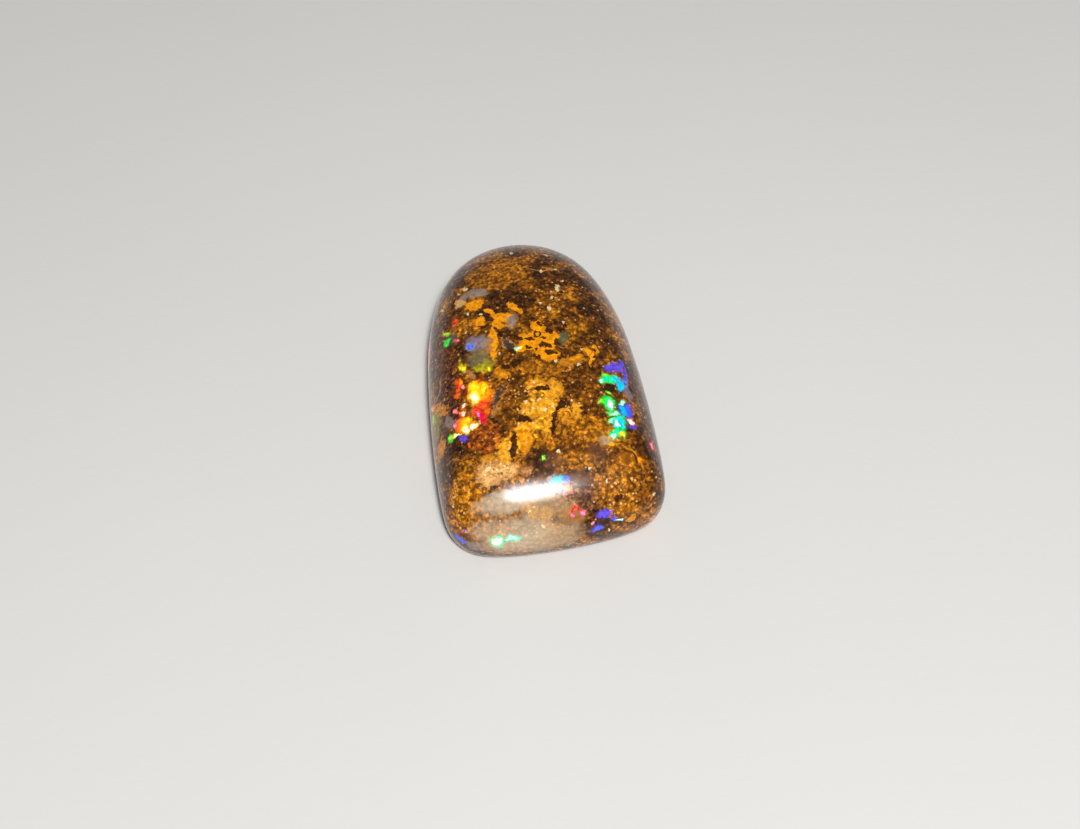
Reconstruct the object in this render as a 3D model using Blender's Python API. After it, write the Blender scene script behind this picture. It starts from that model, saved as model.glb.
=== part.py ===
"""Boulder opal cabochon: one loose, polished, freeform stone that lies on its flat back.

Blender 4.5, metres, +Z up. Seen from above the stone is a tongue: its narrow round end points to +Y and its
broad, slightly slanting end to -Y. The origin is the middle of the back, which lies in the plane z = 0.
"""

import math

import bmesh
import bpy
import numpy as np

MM = 0.001

# From above, the girdle is a soft hull round four circles: middle in x and y, then radius, in millimetres.
OUTLINE_CIRCLES = {
    "far_end": (-0.3, 5.7, 5.5),
    "middle": (-0.2, 1.5, 6.6),
    "near_left_corner": (-4.2, -9.0, 2.8),
    "near_right_corner": (4.2, -8.7, 2.6),
}
# How closely the girdle follows the circles: more makes the stretches between them straighter.
HULL_TIGHTNESS = 20
# How full the crown is towards its ends and sides: 2 is an ellipse, and more keeps the top flat for longer.
END_FULLNESS = 2.75
SIDE_FULLNESS = 3.0

THICKNESS = 6.2
GIRDLE_HEIGHT = 1.7
BACK_BEVEL = 0.7

AROUND = 144
CROWN_RINGS = 20
BEVEL_RINGS = 6
# The tangents that are tried at a bearing, by how far they lean from facing along it.
TANGENT_LEANS = np.radians(np.linspace(-75, 75, 601))

STONE_COLOUR = (0.30, 0.13, 0.025, 1.0)
STONE_ROUGHNESS = 0.12
POLISH_WEIGHT = 1.0
POLISH_ROUGHNESS = 0.03


def clear_scene():
    for old in list(bpy.data.objects):
        bpy.data.objects.remove(old, do_unlink=True)


def tangent_distance(facing):
    """From the crown's middle to the girdle's tangent that faces this way: a soft maximum of the circles'."""
    total = 0
    for x, y, radius in OUTLINE_CIRCLES.values():
        distance = x * np.cos(facing) + y * np.sin(facing) + radius
        total = total + np.maximum(0, distance) ** HULL_TIGHTNESS
    return total ** (1 / HULL_TIGHTNESS)


def girdle_reach(bearing):
    """From the crown's middle to the girdle: along a bearing, the nearest of all its tangents."""
    return (tangent_distance(bearing + TANGENT_LEANS) / np.cos(TANGENT_LEANS)).min()


def crown_fullness(bearing):
    return END_FULLNESS + (SIDE_FULLNESS - END_FULLNESS) * math.cos(bearing) ** 2


def crown_point(bearing, climb):
    """A point of the crown in millimetres: climb is 0 at the girdle and a quarter turn at the top."""
    reach = girdle_reach(bearing) * math.cos(climb) ** (2 / crown_fullness(bearing))
    z = GIRDLE_HEIGHT + (THICKNESS - GIRDLE_HEIGHT) * math.sin(climb)
    return reach * math.cos(bearing), reach * math.sin(bearing), z


def bevel_point(bearing, drop):
    """A point of the rounded edge below: drop is 0 at the girdle and a quarter turn at the back."""
    reach = girdle_reach(bearing) - BACK_BEVEL * (1 - math.cos(drop))
    z = GIRDLE_HEIGHT * (1 - math.sin(drop))
    return reach * math.cos(bearing), reach * math.sin(bearing), z


def stone_mesh():
    """A sphere, its top half drawn out to the crown and the rings below it to the bevel, cut off flat."""
    rings = 2 * CROWN_RINGS
    ring_step = math.pi / rings
    lowest = -BEVEL_RINGS * ring_step
    stone = bmesh.new()
    bmesh.ops.create_uvsphere(stone, u_segments=AROUND, v_segments=rings, radius=1)
    latitude = {v: math.asin(max(-1.0, min(1.0, v.co.z))) for v in stone.verts}
    under = [v for v in stone.verts if latitude[v] < lowest - ring_step / 2]
    bmesh.ops.delete(stone, geom=under, context="VERTS")
    for vertex in stone.verts:
        bearing = math.atan2(vertex.co.y, vertex.co.x)
        if latitude[vertex] >= -ring_step / 2:
            vertex.co = crown_point(bearing, max(0.0, latitude[vertex]))
        else:
            vertex.co = bevel_point(bearing, math.pi / 2 * latitude[vertex] / lowest)
    rim = [edge for edge in stone.edges if edge.is_boundary]
    bmesh.ops.holes_fill(stone, edges=rim, sides=AROUND)
    middle = [(max(v.co[i] for v in stone.verts) + min(v.co[i] for v in stone.verts)) / 2 for i in (0, 1)]
    bmesh.ops.translate(stone, verts=stone.verts, vec=(-middle[0], -middle[1], 0))
    bmesh.ops.scale(stone, verts=stone.verts, vec=(MM, MM, MM))
    bmesh.ops.recalc_face_normals(stone, faces=stone.faces)
    mesh = bpy.data.meshes.new("boulder_opal")
    stone.to_mesh(mesh)
    stone.free()
    mesh.shade_smooth()
    mesh.set_sharp_from_angle(angle=math.radians(40))
    return mesh


def stone_material():
    material = bpy.data.materials.new("polished_ironstone_and_opal")
    material.use_nodes = True
    shader = material.node_tree.nodes["Principled BSDF"]
    shader.inputs["Base Color"].default_value = STONE_COLOUR
    shader.inputs["Roughness"].default_value = STONE_ROUGHNESS
    shader.inputs["Metallic"].default_value = 0.0
    shader.inputs["Coat Weight"].default_value = POLISH_WEIGHT
    shader.inputs["Coat Roughness"].default_value = POLISH_ROUGHNESS
    return material


def main():
    clear_scene()
    parts = bpy.data.collections.new("boulder_opal_cabochon")
    bpy.context.scene.collection.children.link(parts)
    stone = bpy.data.objects.new("boulder_opal", stone_mesh())
    stone.data.materials.append(stone_material())
    parts.objects.link(stone)


main()
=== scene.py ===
"""Boulder opal cabochon: a polished stone of ironstone, ochre, potch and opal fire, on a pale floor."""

import math

import bmesh
import bpy
import numpy as np
from bpy.props import FloatProperty, FloatVectorProperty, IntProperty
from mathutils import Matrix, Vector
from mathutils.bvhtree import BVHTree


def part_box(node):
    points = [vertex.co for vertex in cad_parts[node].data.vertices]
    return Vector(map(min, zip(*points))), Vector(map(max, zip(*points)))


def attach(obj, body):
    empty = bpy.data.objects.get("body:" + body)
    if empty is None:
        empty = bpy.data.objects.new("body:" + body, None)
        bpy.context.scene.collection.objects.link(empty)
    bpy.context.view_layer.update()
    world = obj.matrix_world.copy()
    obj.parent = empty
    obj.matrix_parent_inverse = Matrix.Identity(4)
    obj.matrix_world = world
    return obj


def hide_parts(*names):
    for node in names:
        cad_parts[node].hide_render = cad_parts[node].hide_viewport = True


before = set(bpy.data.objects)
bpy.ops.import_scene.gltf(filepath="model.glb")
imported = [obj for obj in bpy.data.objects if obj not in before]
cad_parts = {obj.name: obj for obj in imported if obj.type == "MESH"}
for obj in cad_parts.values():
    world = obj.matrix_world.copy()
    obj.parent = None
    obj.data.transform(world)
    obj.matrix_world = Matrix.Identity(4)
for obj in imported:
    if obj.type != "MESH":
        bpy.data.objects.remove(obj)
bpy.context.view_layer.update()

bl_info = {
    "name": "Boulder Opal Cabochon",
    "version": (1, 0, 0),
    "blender": (4, 5, 0),
    "location": "3D View > Sidebar > Opal",
    "description": "Cuts a boulder opal cabochon and lays out its ironstone, ochre, potch and opal fire",
    "category": "Add Mesh",
}

MM = 0.001
NODE = "boulder_opal"
STONE = "opal_cabochon"
STONE_LOW, STONE_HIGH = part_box(NODE)

# From above, the girdle is a soft hull round four circles: middle in x and y, then radius, in millimetres.
OUTLINE_CIRCLES = {
    "far_end": (-0.3, 5.7, 5.5),
    "middle": (-0.2, 1.5, 6.6),
    "near_left_corner": (-4.2, -9.0, 2.8),
    "near_right_corner": (4.2, -8.7, 2.6),
}
# How closely the girdle follows the circles: more makes the stretches between them straighter.
HULL_TIGHTNESS = 20
# How full the crown is towards its ends and sides: 2 is an ellipse, and more keeps the top flat for longer.
END_FULLNESS = 2.75
SIDE_FULLNESS = 3.0
# The tangents that are tried at a bearing, by how far they lean from facing along it.
TANGENT_LEANS = np.radians(np.linspace(-75, 75, 601))
# Two crossed sets of slow waves on the crown, each in radians a millimetre along x and y.
FIRST_WAVE = (0.4, 0.9)
SECOND_WAVE = (0.75, -0.3)
# Faces that meet more steeply than this are shaded with an edge between them.
SHARP_ANGLE = math.radians(40)

# The photograph's frame and the pixel on which the lamp's reflection is centred.
PHOTO_WIDTH = 1080
PHOTO_HEIGHT = 829
GLINT_PIXEL = (529, 492)
# The lamp is brightest in its middle, so it is three lamps in one place: each one's size as a multiple of the
# lamp's, and its share of the power.
SOFT_LAMP = {"key_lamp": (0.85, 0.36), "key_lamp_soft": (1.5, 0.32), "key_lamp_wide": (2.4, 0.32)}
ROOM_COLOUR = (0.94, 0.97, 1.0, 1.0)
# The size that the floor's grid is made with, in metres, and how far it lies under the stone's back.
FLOOR_SIZE = 1.5
FLOOR_DROP = 0.01 * MM

# A marking that is seen aslant is drawn out on the stone, at most this many times.
LONGEST_STRETCH = 2.2
# How far a marking reaches into the stone and out of it, in millimetres.
MARK_DEPTH = 0.9
# A seam's half length as a share of its stretch: over a half, so that it runs into the next one.
SEAM_REACH = 0.6
# How far out the rays that find the stone's wall start, in millimetres.
WALL_RAY_START = 100
# Where nodes are laid in the editor: how many to a row, and the room for each.
NODE_ROW = 14
NODE_ROOM = (200, 260)

# The palette, as sRGB values from 0 to 255, and what each colour is on the stone.
PALETTE = {
    "umber": ((58, 29, 4), "Darkest ironstone, round the amber and in the cracks"),
    "chestnut": ((102, 57, 5), "Middle brown of the ironstone"),
    "golden_brown": ((156, 94, 10), "Golden grains of the ironstone"),
    "honey": ((214, 140, 24), "Lighter golden ironstone"),
    "rust": ((140, 66, 14), "Rusty brown beside the fire"),
    "ochre": ((252, 176, 36), "Pale ochre in the middle of the crown"),
    # Peach and cream are the quartz grains' own colour and partly painted glints.
    "peach": ((240, 186, 116), "Small quartz grains all through the ironstone"),
    "cream": ((254, 226, 172), "Quartz grains that glint under the polish"),
    "amber": ((250, 160, 6), "Smooth bright orange seams"),
    "oxblood": ((78, 40, 22), "Reddish dark flank"),
    "cocoa": ((108, 68, 44), "Mauve brown patches"),
    "tan": ((188, 130, 74), "Tan clay seams"),
    "sand": ((240, 184, 108), "Pale clay above the near rim"),
    "olive_gold": ((160, 150, 22), "Greenish yellow seams"),
    "smoke_green": ((92, 100, 72), "Grey green seams"),
    "grey_potch": ((150, 134, 122), "Grey opal without fire"),
    "beige_potch": ((190, 156, 116), "Milky beige opal without fire"),
    "pale_potch": ((214, 190, 158), "Palest milky opal, along the near rim"),
    "lavender_potch": ((142, 126, 146), "Bluish opal without fire"),
    "moss": ((134, 126, 84), "Green veil over the ironstone"),
    "slate": ((66, 60, 58), "Dark grey lenses"),
    "white_fire": ((255, 252, 225), "Brightest fire"),
    "mint_fire": ((205, 255, 232), "Pale green fire"),
    "lemon_fire": ((255, 222, 30), "Yellow fire"),
    "gold_fire": ((255, 165, 0), "Golden fire"),
    "orange_fire": ((248, 96, 12), "Orange fire"),
    "ruby_fire": ((222, 26, 34), "Red fire"),
    "magenta_fire": ((224, 8, 72), "Magenta fire"),
    "rose_fire": ((238, 140, 186), "Pink fire"),
    "violet_fire": ((92, 72, 200), "Violet fire"),
    "blue_fire": ((36, 104, 250), "Blue fire"),
    "cyan_fire": ((0, 196, 230), "Cyan fire"),
    "sea_fire": ((16, 226, 160), "Sea green fire"),
    "green_fire": ((36, 216, 60), "Green fire"),
    "lime_fire": ((168, 226, 48), "Yellow green fire"),
}

# Every marking is a rounded patch of the stone, placed where the photograph shows it: the pixel of its
# middle, its half width and half height in pixels, its turn in degrees clockwise, and its colours.

# Broad changes of the ironstone's colour, soft at their edges; some are partly painted shade or sheen at the
# stone's edges.
GROUNDS = {
    "far_end": (497, 272, 30, 15, -12, "golden_brown"),
    # Mauve strip at the far left rim: partly the stone's colour, partly painted sheen.
    "far_rim_blush_and_sheen": (471, 268, 12, 5, -35, "cocoa"),
    # Painted shade darkening the far rim, where the crown rolls away from the light.
    "far_rim_painted_shade": (545, 262, 14, 6, 0, "umber"),
    "dark_arch": (503, 298, 22, 9, 8, "umber"),
    "far_right_shade": (592, 308, 42, 10, 63, "umber"),
    "shade_round_seams": (505, 352, 26, 15, 0, "chestnut"),
    # The left wall's reddish brown, darker with painted shade where the wall turns from the light.
    "left_flank": (440, 352, 14, 50, -6, "oxblood"),
    "left_flank_low": (444, 398, 14, 30, 0, "oxblood"),
    "golden_shoulder": (575, 330, 9, 8, 20, "golden_brown"),
    "under_leopard": (532, 367, 24, 6, 0, "golden_brown"),
    "middle_ochre": (543, 402, 17, 22, 0, "honey"),
    "middle_dark": (514, 396, 14, 18, 0, "chestnut"),
    "middle_dark_low": (506, 421, 12, 12, 0, "chestnut"),
    "right_field": (582, 392, 24, 30, -6, "chestnut"),
    "right_field_gold": (588, 431, 22, 14, 0, "golden_brown"),
    "rusty_side": (486, 436, 16, 14, -20, "rust"),
    "diagonal_band": (520, 440, 30, 11, -44, "honey"),
    "dark_below_band": (538, 455, 12, 8, 0, "umber"),
    "below_right_field": (566, 440, 14, 11, 0, "chestnut"),
    "brown_field": (582, 460, 20, 9, 6, "golden_brown"),
    "tan_shelf": (500, 472, 24, 12, -4, "tan"),
    "near_left_gold": (462, 494, 17, 38, 4, "golden_brown"),
    # Painted shade on the lower left wall.
    "near_left_painted_shade": (449, 468, 8, 26, 4, "umber"),
    "near_right_gold": (630, 486, 28, 34, 0, "golden_brown"),
    # Painted shade along the lower right edge, which turns from the light.
    "near_right_painted_shade": (644, 482, 14, 26, 0, "chestnut"),
    "near_middle": (577, 500, 24, 12, -6, "cocoa"),
    "near_left_low": (470, 522, 22, 16, 30, "golden_brown"),
    # Painted shade on the right wall, which turns from the light.
    "right_wall": (646, 412, 10, 60, -14, "umber"),
    "dark_curve": (457, 442, 14, 6, -36, "umber"),
}

# Ochre: pale and gritty, with ragged edges.
OCHRES = {
    "golden_shelf": (572, 360, 15, 5, -14, "honey"),
    "fire_foot": (503, 375, 6, 4.2, 0, "amber"),
    "pale_cap": (536, 383, 9, 3.8, 0, "ochre"),
    "upright": (554, 390, 8.5, 11, 0, "ochre"),
    "sparkle_bed": (538, 408, 18, 8, -8, "ochre"),
    "sparkle_bed_right": (550, 403, 7, 6, 0, "ochre"),
    "right_of_crack": (576, 411, 6, 7, 0, "ochre"),
    "right_of_crack_spot": (565, 410, 5, 2.4, 20, "ochre"),
    "right_of_crack_low": (566, 421, 6, 4, 0, "honey"),
    "low_bed": (527, 425, 13, 4, 4, "ochre"),
    "low_bed_right": (548, 426, 4.5, 10, 6, "ochre"),
    "flower": (523, 439, 8, 9, 0, "amber"),
    "column": (503, 455, 7, 15, 4, "ochre"),
    "column_left": (490, 461, 8, 6, 0, "honey"),
    "shelf": (488, 475, 12, 12, 0, "sand"),
    "shelf_middle": (508, 471, 9, 7, 0, "sand"),
    "shelf_right": (525, 472, 8, 5, 0, "tan"),
    "fan_top": (547, 514, 5.5, 7, 0, "ochre"),
    "fan": (548, 528, 12, 8, 20, "tan"),
    "near_grit": (531, 509, 9, 8, 0, "ochre"),
    "tan_feather": (495, 411, 3.5, 6, 30, "tan"),
    "flank_wedge": (438, 411, 8, 8, 0, "amber"),
    "flank_wedge_low": (435, 425, 5, 14, 0, "olive_gold"),
    "flank_blade": (440.5, 449, 3.6, 10, 8, "amber"),
    "right_edge": (625, 457, 8, 9, 40, "golden_brown"),
}

# Where the bright points of quartz, partly painted glints, lie closest together.
SPARKLES = {
    "bed": (538, 406, 18, 8, -6, "cream"),
    "bed_left": (516, 408, 9, 13, 0, "peach"),
    "under_cap": (522, 391, 12, 6, 0, "peach"),
    "cap": (536, 382, 9, 3.4, 0, "cream"),
    "low_bed": (526, 426, 14, 5, 4, "cream"),
    "right_of_crack": (571, 405, 10, 8, 10, "peach"),
    "column": (508, 446, 9, 12, 0, "peach"),
    "shelf": (495, 470, 20, 9, 0, "cream"),
    "near_grit": (532, 509, 12, 8, 0, "cream"),
    "milk": (530, 531, 26, 9, 0, "cream"),
    "near_right": (618, 488, 24, 20, 0, "peach"),
    "near_left": (462, 500, 12, 22, 0, "peach"),
    "far": (557, 290, 9, 12, 0, "peach"),
}

# Amber: smooth and bright, sharp at the edges.
AMBERS = {
    "upper_left": (474, 304.5, 9.5, 5.8, -6, "amber"),
    "small": (513, 306, 6.5, 3.4, 18, "amber"),
    "small_tail": (519, 310, 5, 2.6, 50, "amber"),
    "branch_top": (489, 312.5, 6.5, 2.4, 28, "amber"),
    "branch": (502, 317, 13, 4.8, -8, "amber"),
    "branch_left": (480, 321.5, 6.5, 4.6, 20, "amber"),
    "branch_low": (497, 324, 6, 3.2, 0, "amber"),
    "stem": (493, 340, 3.8, 15, -4, "amber"),
    "stem_foot": (494.5, 353, 2.4, 7, 6, "amber"),
    "leopard_top": (538, 326.5, 7, 5.5, 0, "amber"),
    "leopard": (539, 341, 21, 10.5, 4, "amber"),
    "leopard_right": (556, 336.5, 8, 4.6, 25, "amber"),
    "leopard_low": (547, 354, 12, 5.5, 8, "amber"),
    "leopard_tail": (521, 347, 5.5, 6, 0, "amber"),
    "right_knot": (594, 347, 3.4, 2.2, 0, "amber"),
    "right_thread": (592, 358, 2.2, 7, 8, "amber"),
    "right_thread_left": (586.5, 351, 5, 1.7, 40, "amber"),
    "right_thread_right": (597, 351, 1.6, 5, -6, "amber"),
    "right_thread_low": (577, 357, 7, 2.2, -30, "amber"),
    "near_right": (631.5, 518, 5.2, 2.6, -20, "honey"),
}

# Dark ironstone that shows through the amber and the ochre.
HOLES = {
    "branch_lens": (488.5, 317.5, 5.4, 2.2, 22, "umber"),
    "branch_notch": (485, 326, 5, 1.8, -10, "umber"),
    "leopard_1": (548.8, 330.5, 4.4, 2.4, 18, "umber"),
    "leopard_2": (536.5, 333.5, 4.6, 4.2, 0, "umber"),
    "leopard_3": (518, 337.5, 5, 1.8, 16, "umber"),
    "leopard_4": (528.6, 340, 4.8, 1.9, 8, "umber"),
    "leopard_5": (546.6, 344.5, 4.8, 2.6, 14, "umber"),
    "leopard_6": (558.5, 342, 5, 2.8, -10, "umber"),
    "leopard_7": (549.5, 352, 5.6, 3, 16, "umber"),
    "leopard_8": (528.5, 347.5, 4.6, 1.3, 0, "umber"),
    "leopard_9": (537, 348.5, 2.8, 1.3, 0, "umber"),
    "leopard_10": (544, 338, 3, 1.2, 10, "umber"),
    "leopard_11": (538, 356.5, 3.4, 1.2, 10, "umber"),
    "leopard_12": (541, 324, 3, 1.3, 24, "umber"),
    "under_leopard_pit": (516, 363, 5, 4, 0, "umber"),
    "fire_foot_pit": (504, 367.5, 3.8, 3, 0, "umber"),
    "cap_pit": (542, 388.5, 5.5, 3, -14, "umber"),
    "bed_pit": (523, 418, 5.5, 3.8, 0, "umber"),
    "crack_top": (559.5, 406, 1.9, 5.5, 40, "umber"),
    "long_crack": (555, 415, 2.4, 9, 14, "umber"),
    "crack_low": (553.5, 427, 2.2, 8, 0, "umber"),
    "column_crack": (514.5, 446, 3, 14, 4, "umber"),
    "feather_pit": (494, 419.5, 3, 1.8, 10, "umber"),
    "right_fire_pit": (609, 387, 5.5, 3.6, 0, "umber"),
    "near_pit": (608, 521, 2.6, 3, 0, "umber"),
    "near_streak": (617.5, 497.5, 5.5, 2.6, -42, "oxblood"),
}
# The amber blob inside the largest hole of the leopard patch.
BLOBS = {
    "leopard_eye": (536.8, 333.6, 2.3, 2.1, 0, "amber"),
}

# Potch: opal without fire, smooth and milky.
POTCHES = {
    "arc": (477, 293, 12, 4, -8, "grey_potch"),
    "arc_left": (464, 297.5, 6, 3.4, -42, "grey_potch"),
    "blush": (460, 303.5, 4.5, 4.5, -30, "sand"),
    "blue_grey": (512, 322, 5.5, 8, 25, "grey_potch"),
    "lavender": (474, 343, 9, 8, 0, "lavender_potch"),
    "lavender_right": (484, 343, 5, 8.5, 0, "grey_potch"),
    "stem_blush": (489, 346, 2.6, 8, 0, "tan"),
    "lens": (509, 343.5, 7.5, 3.8, 34, "slate"),
    "smoke": (565, 338, 4.5, 6, 0, "smoke_green"),
    "flank_smoke": (451, 338, 6, 6.5, 0, "smoke_green"),
    "brown_lens": (470, 375, 6, 2.8, 25, "tan"),
    "violet_lens": (496, 395.5, 4.6, 11, 28, "slate"),
    "flank_grey": (449.5, 422.5, 4, 7, -10, "grey_potch"),
    "right_strip": (627.5, 391, 3.2, 12, -12, "lavender_potch"),
    "right_smudge": (605, 440.5, 8, 4, 6, "beige_potch"),
    "milk_left": (475, 546.5, 10, 4, 14, "grey_potch"),
}
# Veils: potch so thin that its edges fade away and the stone's colour shows through; the two under the lamp's
# reflection are partly painted reflection haze.
VEILS = {
    "green_fade": (481, 358, 13, 8, 0, "moss"),
    "green_fade_right": (489, 363, 7, 6, 0, "olive_gold"),
    "mauve_top": (597, 453, 9, 12, 0, "cocoa"),
    "mauve_left": (556, 461, 10, 9, 0, "cocoa"),
    "beside_glint": (579, 478, 11, 7, 0, "cocoa"),
    # Milky potch under the lamp's reflection, made paler with painted reflection haze.
    "under_glint": (500, 504, 32, 11, -10, "pale_potch"),
    "under_glint_right": (548, 508, 26, 12, -4, "beige_potch"),
    "milk": (520, 534, 46, 16, -3, "pale_potch"),
    "milk_rim": (524, 546, 46, 9, -4, "pale_potch"),
    "milk_right": (560, 538, 22, 11, -12, "beige_potch"),
    "fan_shade": (573, 514, 12, 9, 10, "tan"),
}

# Fire: the colour of its rim, then of its heart.
FIRES = {
    "olive_knot": (463.5, 368.5, 5, 4.2, 0, "olive_gold", "lemon_fire"),
    "olive_knot_tip": (460, 362, 1.4, 4, 0, "olive_gold", "olive_gold"),
    "olive_fade": (482, 368, 9, 3.6, 0, "olive_gold", "olive_gold"),
    "olive_spark": (488.5, 368, 3.6, 2.8, 20, "olive_gold", "lemon_fire"),
    "lavender_spark": (470.6, 346, 3, 3.8, 0, "lavender_potch", "blue_fire"),
    "lens_spark": (517.8, 348.6, 2.6, 2, 0, "lime_fire", "mint_fire"),
    "flank_red": (455, 322.3, 3, 2.6, -20, "ruby_fire", "orange_fire"),
    "flank_lime": (446, 334.3, 3.8, 2.3, -10, "olive_gold", "lime_fire"),
    "flank_green": (446.3, 343, 2.8, 3.2, 0, "green_fire", "green_fire"),
    "flank_coral": (456.7, 339.7, 2.5, 2.2, 0, "ruby_fire", "rose_fire"),
    "flank_pink": (429, 351, 1.6, 9, 0, "cocoa", "rose_fire"),
    "flicker_mid": (456.5, 388, 2.4, 7, -8, "orange_fire", "ruby_fire"),
    "flicker_top": (459.5, 383, 3, 3, 0, "orange_fire", "gold_fire"),
    "flicker_right": (462, 387.5, 1.8, 3, 30, "orange_fire", "rose_fire"),
    "flicker_low": (457, 397, 4, 2.4, 0, "rust", "orange_fire"),
    "sun": (478, 393, 11.5, 12, 0, "orange_fire", "gold_fire"),
    "sun_low": (484, 404.5, 6, 4, -20, "ruby_fire", "orange_fire"),
    "sun_top": (474, 387, 7, 5.5, 0, "gold_fire", "lemon_fire"),
    "sun_right": (484, 389, 4.5, 6, 0, "gold_fire", "lemon_fire"),
    "sun_wing": (488.5, 392.5, 4, 2.6, 6, "orange_fire", "gold_fire"),
    "sun_core": (474, 398, 4.8, 7, 8, "lemon_fire", "white_fire"),
    "ember_1": (462, 405.5, 2.6, 2.2, 0, "orange_fire", "white_fire"),
    "ember_2": (456.7, 411, 2.4, 2.2, 0, "orange_fire", "rose_fire"),
    "ember_3": (462.5, 412.7, 3.4, 2.3, 10, "orange_fire", "white_fire"),
    "ruby_right": (487, 411, 2.4, 7, 0, "rust", "orange_fire"),
    "ruby_top": (477.5, 412, 5, 5, 0, "ruby_fire", "orange_fire"),
    "ruby_low": (482.5, 419.5, 4.4, 6, -14, "ruby_fire", "magenta_fire"),
    "ruby_spark": (478, 414.5, 1.7, 4, -20, "magenta_fire", "rose_fire"),
    "second_left": (457.5, 425, 3.4, 5, 0, "rose_fire", "orange_fire"),
    "second_sun": (464, 425, 7.5, 9.5, 0, "orange_fire", "gold_fire"),
    "second_top": (466.5, 419.5, 4.5, 4, 0, "gold_fire", "lemon_fire"),
    "second_core": (465.5, 429, 4.2, 5, 0, "lemon_fire", "white_fire"),
    "second_spark": (474, 426.5, 4, 3.2, -10, "gold_fire", "white_fire"),
    "violet_foot": (462.5, 438.5, 5, 2.8, -8, "violet_fire", "violet_fire"),
    "green_foot": (451.5, 438.5, 4.2, 2.8, -35, "green_fire", "lime_fire"),
    "foot_spark": (457, 435.5, 3, 1.8, -40, "lemon_fire", "white_fire"),
    "ember_trail": (468, 445, 2.8, 3.2, 0, "rust", "orange_fire"),
    "flank_flame": (432.6, 410, 1.8, 3.6, 0, "orange_fire", "gold_fire"),
    "flank_olive": (433.6, 420, 1.8, 5, 0, "olive_gold", "lime_fire"),
    "violet_cap": (614.5, 367.5, 8.5, 4.8, 0, "violet_fire", "violet_fire"),
    "violet_cap_right": (621.8, 364.5, 3, 3.4, 0, "violet_fire", "violet_fire"),
    "violet_side": (625.5, 375, 2.4, 8, -8, "violet_fire", "violet_fire"),
    "violet_side_low": (625.8, 383, 2.6, 4, 0, "lavender_potch", "blue_fire"),
    "green_bar": (607, 378.5, 7.5, 3.8, 0, "green_fire", "sea_fire"),
    "green_bar_top": (604.5, 375, 2.6, 2, 0, "green_fire", "lime_fire"),
    "green_bar_tip": (601, 380, 2.4, 1.8, 0, "sea_fire", "mint_fire"),
    "cyan_bend": (616, 379, 4.5, 2.6, 15, "sea_fire", "cyan_fire"),
    "cyan_bar": (620.3, 386, 3.6, 6, -8, "cyan_fire", "cyan_fire"),
    "green_dot": (608, 391.3, 2.4, 1.9, 0, "green_fire", "lime_fire"),
    "knot_fringe": (601.8, 402, 3.6, 2.8, 0, "olive_gold", "lime_fire"),
    "knot": (609, 403, 6.8, 6, 10, "green_fire", "green_fire"),
    "knot_core": (610.2, 404, 4, 3.6, 30, "sea_fire", "white_fire"),
    "middle_core": (613.5, 412.5, 6, 4.2, 0, "green_fire", "mint_fire"),
    "cyan_top": (621.5, 403, 3.4, 2.2, 0, "sea_fire", "mint_fire"),
    "blue_side": (628, 410.5, 5.4, 5.5, 20, "violet_fire", "blue_fire"),
    "blue_side_left": (622.5, 410, 3.6, 5, 0, "blue_fire", "cyan_fire"),
    "left_mint": (612, 420, 3.6, 2.8, 0, "green_fire", "mint_fire"),
    "cyan_column": (620, 423, 7.6, 7.5, 0, "sea_fire", "cyan_fire"),
    "cyan_column_core": (617, 424, 3.8, 4, 0, "cyan_fire", "white_fire"),
    "sea_foot": (618.5, 434, 7.4, 5.2, 0, "green_fire", "sea_fire"),
    "sea_foot_left": (614, 436.5, 3, 2.4, 0, "sea_fire", "mint_fire"),
    "sea_foot_lime": (622, 435, 3, 2.4, -30, "lime_fire", "lemon_fire"),
    "side_rose": (631, 420.5, 3.4, 1.7, 38, "rose_fire", "white_fire"),
    "side_violet": (633, 425.5, 3, 1.9, 10, "violet_fire", "violet_fire"),
    "smudge_spark": (611, 443.7, 3, 1.5, 0, "gold_fire", "gold_fire"),
    "right_wall_rose": (652, 445.5, 2.4, 5, -8, "ruby_fire", "rose_fire"),
    "right_edge_orange": (640, 459, 2.6, 3.2, -20, "orange_fire", "gold_fire"),
    "middle_green": (543.7, 459, 2.2, 1.8, 0, "green_fire", "lime_fire"),
    "blue_bar": (557.5, 479.5, 8.5, 3.2, -14, "cyan_fire", "cyan_fire"),
    "blue_bar_end": (565.5, 480.3, 3.6, 3.4, -14, "blue_fire", "violet_fire"),
    "coral_left": (565.5, 492, 1.6, 4.2, 26, "orange_fire", "rose_fire"),
    "coral_right": (572.5, 489.5, 1.8, 3.8, -12, "orange_fire", "orange_fire"),
    "triangle_left": (573.8, 509, 1.5, 5.5, 28, "ruby_fire", "ruby_fire"),
    "triangle_right": (580.2, 509, 1.5, 5.5, -28, "ruby_fire", "ruby_fire"),
    "triangle_left_foot": (571, 514.5, 2.5, 2.3, 0, "ruby_fire", "rose_fire"),
    "triangle_right_foot": (583.3, 513.8, 2.3, 2.8, 0, "ruby_fire", "rose_fire"),
    "violet_near": (604, 514, 7.4, 4.2, -6, "violet_fire", "violet_fire"),
    "violet_near_tip": (615.5, 517, 3, 2.4, 30, "violet_fire", "violet_fire"),
    "white_near_tip": (620.5, 519, 3.4, 1.8, 20, "cyan_fire", "white_fire"),
    "violet_low": (597, 528, 7, 3.6, -22, "violet_fire", "blue_fire"),
    "red_near": (593.5, 523.3, 1.5, 1.3, 0, "orange_fire", "rose_fire"),
    "mint_pool": (497, 541, 7.2, 6.2, 0, "sea_fire", "white_fire"),
    "mint_tail": (511.5, 539, 7.5, 2.7, -2, "sea_fire", "mint_fire"),
    "violet_rim": (460, 539.5, 7.5, 2.1, 38, "violet_fire", "blue_fire"),
    "violet_rim_dot": (465, 530.4, 2.2, 1.9, 0, "violet_fire", "violet_fire"),
}

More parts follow.
